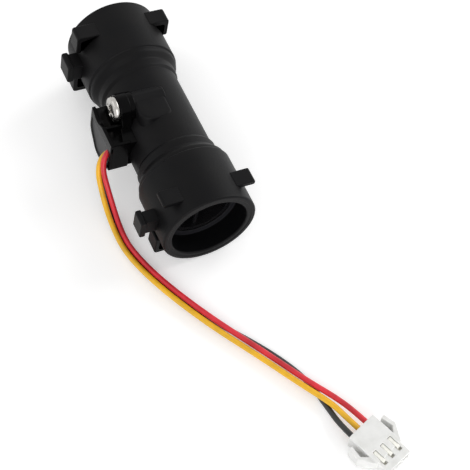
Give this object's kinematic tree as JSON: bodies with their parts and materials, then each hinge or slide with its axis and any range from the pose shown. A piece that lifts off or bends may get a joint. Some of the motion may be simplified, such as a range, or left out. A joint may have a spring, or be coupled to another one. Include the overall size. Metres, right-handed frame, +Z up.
{
  "type": "water flow sensor",
  "caption": "In-line water flow sensor: moulded tube with quick-connect sockets, axial turbine inside, side Hall module held by a screw, and three wires to a small plug.",
  "frame": {"origin": "centre of the inlet mouth on the flow axis", "axes": "+Y along the flow axis from inlet to outlet, +Z up from the floor it lies on, the sensor module on the -X side"},
  "size_m": [0.042, 0.1406, 0.0263],
  "materials": {
    "moulding": "satin black glass-filled nylon",
    "module_moulding": "smooth glossy black nylon",
    "turbine_plastic": "dark acetal moulding",
    "magnet": "dark bonded ferrite",
    "bush": "dark bearing plastic",
    "shaft_steel": "ground steel",
    "screw_steel": "bright zinc-plated steel",
    "board_green": "varnished circuit board",
    "chip_black": "dark moulded package",
    "chip_tan": "ceramic",
    "potting_grey": "cured grey resin, lightly glossy",
    "insulation_red": "smooth PVC",
    "insulation_yellow": "smooth PVC",
    "insulation_black": "smooth PVC",
    "plug_nylon": "milky natural nylon",
    "contact_tin": "bright tinned contact"
  },
  "bodies": {
    "housing": {"flow_body": "moulding", "flow_guide": "turbine_plastic", "front_bush": "bush", "rear_bush": "bush", "front_washer": "shaft_steel", "rear_washer": "shaft_steel", "rear_carrier": "turbine_plastic", "retaining_clip": "shaft_steel", "sensor_housing": "module_moulding", "circuit_board": "board_green", "hall_sensor": "chip_black", "capacitor": "chip_tan", "resistor": "chip_black", "potting": "potting_grey", "mounting_screw": "screw_steel", "wire_red": "insulation_red", "wire_yellow": "insulation_yellow", "wire_black": "insulation_black", "connector_housing": "plug_nylon", "terminal_1": "contact_tin", "terminal_2": "contact_tin", "terminal_3": "contact_tin"},
    "rotor": {"rotor": "turbine_plastic", "rotor_magnet": "magnet", "rotor_shaft": "shaft_steel"}
  },
  "joints": [
    {"name": "rotor_spin", "type": "hinge", "parent": "housing", "child": "rotor", "pos_m": [0, 0.034, 0], "axis": [0, 1, 0], "continuous": true}
  ]
}
